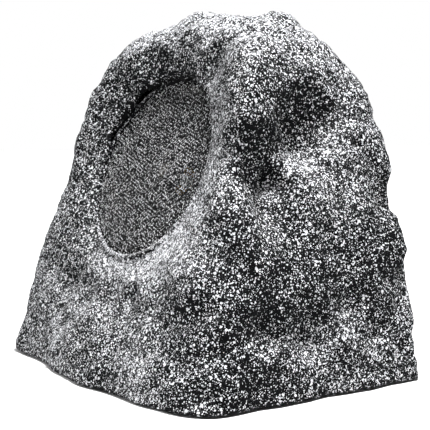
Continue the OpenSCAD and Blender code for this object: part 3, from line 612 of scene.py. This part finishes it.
def only(kind, geometry):
    return [g for g in geometry if isinstance(g, kind)]


def edges_of(verts):
    return in_order(e for v in verts for e in v.link_edges)


def hole_places():
    """Centres of the staggered holes, in the sheet's own plane."""
    row_h = hole_pitch * math.sqrt(3) / 2
    rows = int(field_r / row_h) + 1
    columns = rows + 8
    turn = Matrix.Rotation(rows_turn, 2)
    for j in range(-rows, rows + 1):
        for i in range(-columns, columns + 1):
            p = Vector(((i + 0.5 * (j % 2)) * hole_pitch, j * row_h))
            if p.length < field_r:
                yield turn @ p


def one_cell():
    """Hexagon of sheet round one hole, as a mesh."""
    cell = bmesh.new()
    circle = bmesh.ops.create_circle
    turn = Matrix.Rotation(rows_turn, 4, "Z")
    point_up = turn @ Matrix.Rotation(math.radians(30), 4, "Z")
    edge = circle(cell, segments=6, radius=hole_pitch / math.sqrt(3), matrix=point_up)["verts"]
    hole = circle(cell, segments=hole_sides, radius=hole_r, matrix=turn)["verts"]
    bmesh.ops.bridge_loops(cell, edges=edges_of(edge + hole))
    return mesh_of(cell, "one_cell")


def add_rim(sheet):
    """Closed folded rim, its first circle under the outermost holes."""
    fold = bmesh.ops.create_circle(sheet, segments=rim_sides, radius=fold_r)["verts"]
    bmesh.ops.translate(sheet, verts=fold, vec=(0.0, 0.0, rim_start_level))
    first = last = edges_of(fold)
    for radius, level in rim_profile:
        grown = bmesh.ops.extrude_edge_only(sheet, edges=last)["geom"]
        verts = only(bmesh.types.BMVert, grown)
        for v in verts:
            flat = Vector((v.co.x, v.co.y, 0.0)).normalized() * radius
            v.co = Vector((flat.x, flat.y, level))
        last = [e for e in only(bmesh.types.BMEdge, grown) if all(w in verts for w in e.verts)]
    bmesh.ops.bridge_loops(sheet, edges=first + last)


def grille_sheet():
    sheet = bmesh.new()
    cell = one_cell()
    for p in hole_places():
        before = len(sheet.verts)
        sheet.from_mesh(cell)
        sheet.verts.ensure_lookup_table()
        bmesh.ops.translate(sheet, verts=sheet.verts[before:], vec=(p.x, p.y, 0.0))
    bmesh.ops.remove_doubles(sheet, verts=sheet.verts, dist=0.05 * MM)
    grown = bmesh.ops.extrude_face_region(sheet, geom=sheet.faces[:], use_keep_orig=True)["geom"]
    under = only(bmesh.types.BMVert, grown)
    bmesh.ops.translate(sheet, verts=under, vec=(0.0, 0.0, -sheet_t))
    add_rim(sheet)
    bmesh.ops.recalc_face_normals(sheet, faces=sheet.faces)
    # marks the hole walls and the sheet's back under the holes, which get painted shade
    inside = sheet.faces.layers.float.new("inside")
    for f in sheet.faces:
        middle = f.calc_center_median()
        f[inside] = float(middle.z < -0.01 * MM and middle.xy.length < field_r)
    axes = Matrix((sheet_across, sheet_up, sheet_out)).transposed().to_4x4()
    to_sheet = Matrix.Translation(grille_centre) @ axes
    bmesh.ops.transform(sheet, matrix=to_sheet, verts=sheet.verts)
    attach(add_piece(mesh_of(sheet, "grille_sheet"), "grille"), "enclosure")


grille_sheet()


# Surround and spider, cut in sectors; in the real driver they flex with the cone

sectors = 16
sector_step = 2 * math.pi / sectors
weld = 0.005 * MM
cut_snap = 0.001 * MM


def round_axis(turn):
    """Direction out from the driver's axis, at a turn round it."""
    return sheet_across * math.cos(turn) + sheet_up * math.sin(turn)


def sector_of(ring, middle, at, name):
    """Part of a ring between two planes through the driver's axis."""
    part = bmesh.new()
    part.from_mesh(ring)
    for turn, side in ((at - 0.5) * sector_step, -1), ((at + 0.5) * sector_step, 1):
        bmesh.ops.bisect_plane(
            part,
            geom=[*part.verts, *part.edges, *part.faces],
            plane_co=middle,
            plane_no=round_axis(turn + math.pi / 2) * side,
            dist=cut_snap,
            clear_outer=True,
        )
    return mesh_of(part, name)


def flexing_ring(name):
    """Ring cut in sectors round the driver's axis, each from the still frame outside to the cone at its inner
    edge.
    """
    whole = bmesh.new()
    whole.from_mesh(nodes[name].data)
    bmesh.ops.remove_doubles(whole, verts=whole.verts, dist=weld)
    ring = mesh_of(whole, name + "_merged")
    places = [over_sheet(v.co) for v in ring.vertices]
    middle = grille_centre + sheet_out * (sum(level for level, _, _ in places) / len(places))
    for i in range(sectors):
        piece = add_piece(sector_of(ring, middle, i, f"{name}_{i + 1:02d}"), name)
        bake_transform(piece)


flexing_ring("surround")
flexing_ring("spider")


# Floor, backdrop, lamps and camera

white = (1.0, 1.0, 1.0, 1.0)
floor_grey = 0.92
floor_reach = 6.0
floor_white_from, floor_white_at = 0.25, 0.75  # distances from the rock
lighting_share = 0.2  # of the backdrop's white, for rays that the camera doesn't see

camera_at = Vector((0.772, -0.538, 0.214))
camera_turn = math.radians(54.4)
camera_dip = math.radians(5.0)
camera_lens = 90.4
camera_sensor = 36.0


def pale_floor(name):
    """Pale floor with the object's shadow, which fades to plain white past a distance."""
    made = Finish(name, roughness=0.9)
    made.colour((floor_grey,) * 3)
    away = made.tree.nodes.new("ShaderNodeVectorMath")
    away.operation = "LENGTH"
    made.link(made.place, away.inputs[0])
    fade = made.step(away.outputs["Value"], floor_white_from, floor_white_at)
    path = made.tree.nodes.new("ShaderNodeLightPath")
    seen = made.math("MAXIMUM", path.outputs["Is Camera Ray"], path.outputs["Is Glossy Ray"])
    made.shader.inputs["Emission Color"].default_value = white
    made.link(made.math("MULTIPLY", fade, seen), made.shader.inputs["Emission Strength"])
    return made.material


def add_floor():
    form = bmesh.new()
    bmesh.ops.create_grid(form, x_segments=1, y_segments=1, size=floor_reach)
    floor = add_object("floor", mesh_of(form, "floor"))
    floor.data.materials.append(pale_floor("pale_floor"))


def add_backdrop():
    """White backdrop that lights the object less than the camera sees."""
    world = bpy.data.worlds.new("studio")
    bpy.context.scene.world = world
    world.use_nodes = True
    tree = world.node_tree
    background = tree.nodes["Background"]
    path = tree.nodes.new("ShaderNodeLightPath")
    seen = tree.nodes.new("ShaderNodeMath")
    seen.operation = "MAXIMUM"
    tree.links.new(path.outputs["Is Camera Ray"], seen.inputs[0])
    tree.links.new(path.outputs["Is Glossy Ray"], seen.inputs[1])
    level = tree.nodes.new("ShaderNodeMapRange")
    level.inputs["To Min"].default_value = lighting_share
    tree.links.new(seen.outputs[0], level.inputs["Value"])
    tree.links.new(level.outputs["Result"], background.inputs["Strength"])
    background.inputs["Color"].default_value = white


def set_looking(made, place, towards):
    made.location = place
    made.rotation_mode = "QUATERNION"
    made.rotation_quaternion = towards.to_track_quat("-Z", "Y")


def add_lamp(name, place, size, power):
    """Square soft lamp turned to the middle of the rock."""
    data = bpy.data.lights.new(name, "AREA")
    data.shape = "SQUARE"
    data.size = size
    data.energy = power
    set_looking(add_object(name, data), place, Vector((0, 0, rock_middle)) - Vector(place))


def add_camera():
    data = bpy.data.cameras.new("camera")
    data.lens = camera_lens
    data.sensor_width = camera_sensor
    camera = add_object("camera", data)
    back = Vector((0, -math.cos(camera_dip), math.sin(camera_dip)))
    set_looking(camera, camera_at, -(Matrix.Rotation(camera_turn, 3, "Z") @ back))
    bpy.context.scene.camera = camera


add_floor()
add_backdrop()
add_lamp("key_lamp", place=(0.35, 0.1, 1.5), size=0.3, power=52.0)
add_lamp("fill_lamp", place=(-0.4, -1.4, 1.1), size=0.5, power=9.0)
add_camera()
bpy.context.scene.view_settings.view_transform = "Standard"
